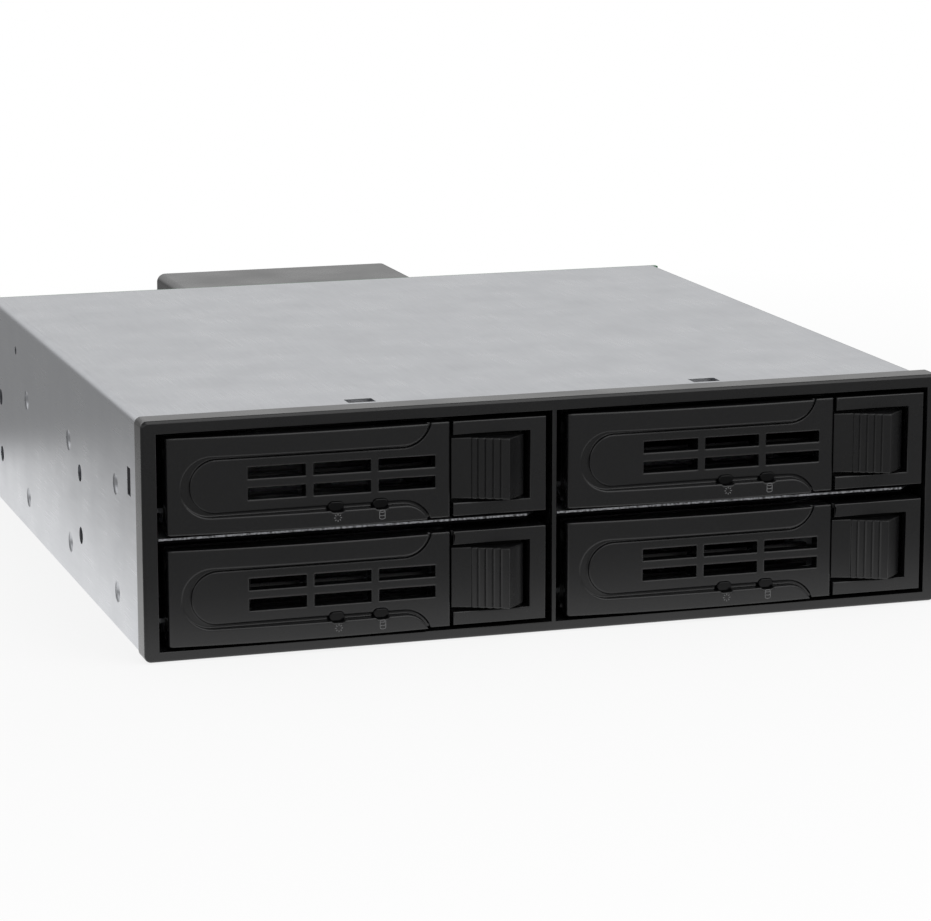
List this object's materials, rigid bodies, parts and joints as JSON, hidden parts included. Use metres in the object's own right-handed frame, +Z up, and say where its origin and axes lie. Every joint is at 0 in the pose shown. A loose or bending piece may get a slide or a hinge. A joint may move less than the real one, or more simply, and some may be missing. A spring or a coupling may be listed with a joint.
{
  "type": "hot swap drive cage",
  "caption": "Sheet steel drive cage for one 5.25 inch bay, with slide-out drive trays that have hinged handles and sliding latches, a backplane board and a rear fan.",
  "frame": {"origin": "middle of the footprint of the whole cage, at the underside of the shell", "axes": "+X to the right seen from the front, +Y from the front to the rear, +Z up"},
  "size_m": [0.148, 0.1706, 0.0422],
  "materials": {
    "shell_steel": "satin zinc coated sheet steel",
    "moulded_black": "fine textured black ABS",
    "sled_steel": "zinc coated sheet steel",
    "board_green": "glass fibre board with green solder resist",
    "socket_black": "moulded connector bodies",
    "can_aluminium": "drawn cans",
    "lamp_body": "small diode packages",
    "clear_plastic": "clear acrylic",
    "lens_smoke": "smoked lens, unlit",
    "screw_steel": "plated steel",
    "spring_steel": "blued strip",
    "fan_black": "glass filled PBT"
  },
  "bodies": {
    "cage": {"top_cover": "shell_steel", "bottom_plate": "shell_steel", "front_bezel": "moulded_black", "left_shelf": "shell_steel", "right_shelf": "shell_steel", "centre_wall": "shell_steel", "backplane_board": "board_green", "drive_sockets": "socket_black", "data_ports": "socket_black", "power_inlets": "socket_black", "fan_header": "socket_black", "capacitors": "can_aluminium", "status_leds": "lamp_body", "board_screws": "screw_steel", "fan_housing": "moulded_black", "housing_screws": "screw_steel", "fan_frame": "fan_black", "fan_screws": "screw_steel"},
    "fan_wheel": {"fan_rotor": "fan_black"},
    "tray_1_carrier": {"tray_1_sled": "sled_steel", "tray_1_front": "moulded_black", "tray_1_latch_spring": "spring_steel", "tray_1_kick_spring": "spring_steel", "tray_1_light_pipes": "clear_plastic", "tray_1_screws": "screw_steel"},
    "tray_1_lever": {"tray_1_handle": "moulded_black", "tray_1_hinge_pin": "screw_steel", "tray_1_led_lenses": "lens_smoke"},
    "tray_1_latch": {"tray_1_latch": "moulded_black"},
    "tray_2_carrier": {"tray_2_sled": "sled_steel", "tray_2_front": "moulded_black", "tray_2_latch_spring": "spring_steel", "tray_2_kick_spring": "spring_steel", "tray_2_light_pipes": "clear_plastic", "tray_2_screws": "screw_steel"},
    "tray_2_lever": {"tray_2_handle": "moulded_black", "tray_2_hinge_pin": "screw_steel", "tray_2_led_lenses": "lens_smoke"},
    "tray_2_latch": {"tray_2_latch": "moulded_black"},
    "tray_3_carrier": {"tray_3_sled": "sled_steel", "tray_3_front": "moulded_black", "tray_3_latch_spring": "spring_steel", "tray_3_kick_spring": "spring_steel", "tray_3_light_pipes": "clear_plastic", "tray_3_screws": "screw_steel"},
    "tray_3_lever": {"tray_3_handle": "moulded_black", "tray_3_hinge_pin": "screw_steel", "tray_3_led_lenses": "lens_smoke"},
    "tray_3_latch": {"tray_3_latch": "moulded_black"},
    "tray_4_carrier": {"tray_4_sled": "sled_steel", "tray_4_front": "moulded_black", "tray_4_latch_spring": "spring_steel", "tray_4_kick_spring": "spring_steel", "tray_4_light_pipes": "clear_plastic", "tray_4_screws": "screw_steel"},
    "tray_4_lever": {"tray_4_handle": "moulded_black", "tray_4_hinge_pin": "screw_steel", "tray_4_led_lenses": "lens_smoke"},
    "tray_4_latch": {"tray_4_latch": "moulded_black"}
  },
  "joints": [
    {"name": "fan_spin", "type": "hinge", "parent": "cage", "child": "fan_wheel", "pos_m": [-0.0071, 0.07395, 0.02055], "axis": [0, 1, 0], "continuous": true},
    {"name": "tray_1_slide", "type": "slide", "parent": "cage", "child": "tray_1_carrier", "axis": [0, -1, 0], "range_m": [0, 0.145]},
    {"name": "tray_1_handle_hinge", "type": "hinge", "parent": "tray_1_carrier", "child": "tray_1_lever", "pos_m": [-0.06735, -0.07935, 0.03055], "axis": [0, 0, -1], "range_deg": [0, 85]},
    {"name": "tray_1_latch_slide", "type": "slide", "parent": "tray_1_carrier", "child": "tray_1_latch", "axis": [1, 0, 0], "range_m": [0, 0.0009], "stiffness_N_per_m": 400, "springref_m": -0.004},
    {"name": "tray_2_slide", "type": "slide", "parent": "cage", "child": "tray_2_carrier", "axis": [0, -1, 0], "range_m": [0, 0.145]},
    {"name": "tray_2_handle_hinge", "type": "hinge", "parent": "tray_2_carrier", "child": "tray_2_lever", "pos_m": [0.00485, -0.07935, 0.03055], "axis": [0, 0, -1], "range_deg": [0, 85]},
    {"name": "tray_2_latch_slide", "type": "slide", "parent": "tray_2_carrier", "child": "tray_2_latch", "axis": [1, 0, 0], "range_m": [0, 0.0009], "stiffness_N_per_m": 400, "springref_m": -0.004},
    {"name": "tray_3_slide", "type": "slide", "parent": "cage", "child": "tray_3_carrier", "axis": [0, -1, 0], "range_m": [0, 0.145]},
    {"name": "tray_3_handle_hinge", "type": "hinge", "parent": "tray_3_carrier", "child": "tray_3_lever", "pos_m": [-0.06735, -0.07935, 0.01095], "axis": [0, 0, -1], "range_deg": [0, 85]},
    {"name": "tray_3_latch_slide", "type": "slide", "parent": "tray_3_carrier", "child": "tray_3_latch", "axis": [1, 0, 0], "range_m": [0, 0.0009], "stiffness_N_per_m": 400, "springref_m": -0.004},
    {"name": "tray_4_slide", "type": "slide", "parent": "cage", "child": "tray_4_carrier", "axis": [0, -1, 0], "range_m": [0, 0.145]},
    {"name": "tray_4_handle_hinge", "type": "hinge", "parent": "tray_4_carrier", "child": "tray_4_lever", "pos_m": [0.00485, -0.07935, 0.01095], "axis": [0, 0, -1], "range_deg": [0, 85]},
    {"name": "tray_4_latch_slide", "type": "slide", "parent": "tray_4_carrier", "child": "tray_4_latch", "axis": [1, 0, 0], "range_m": [0, 0.0009], "stiffness_N_per_m": 400, "springref_m": -0.004}
  ]
}
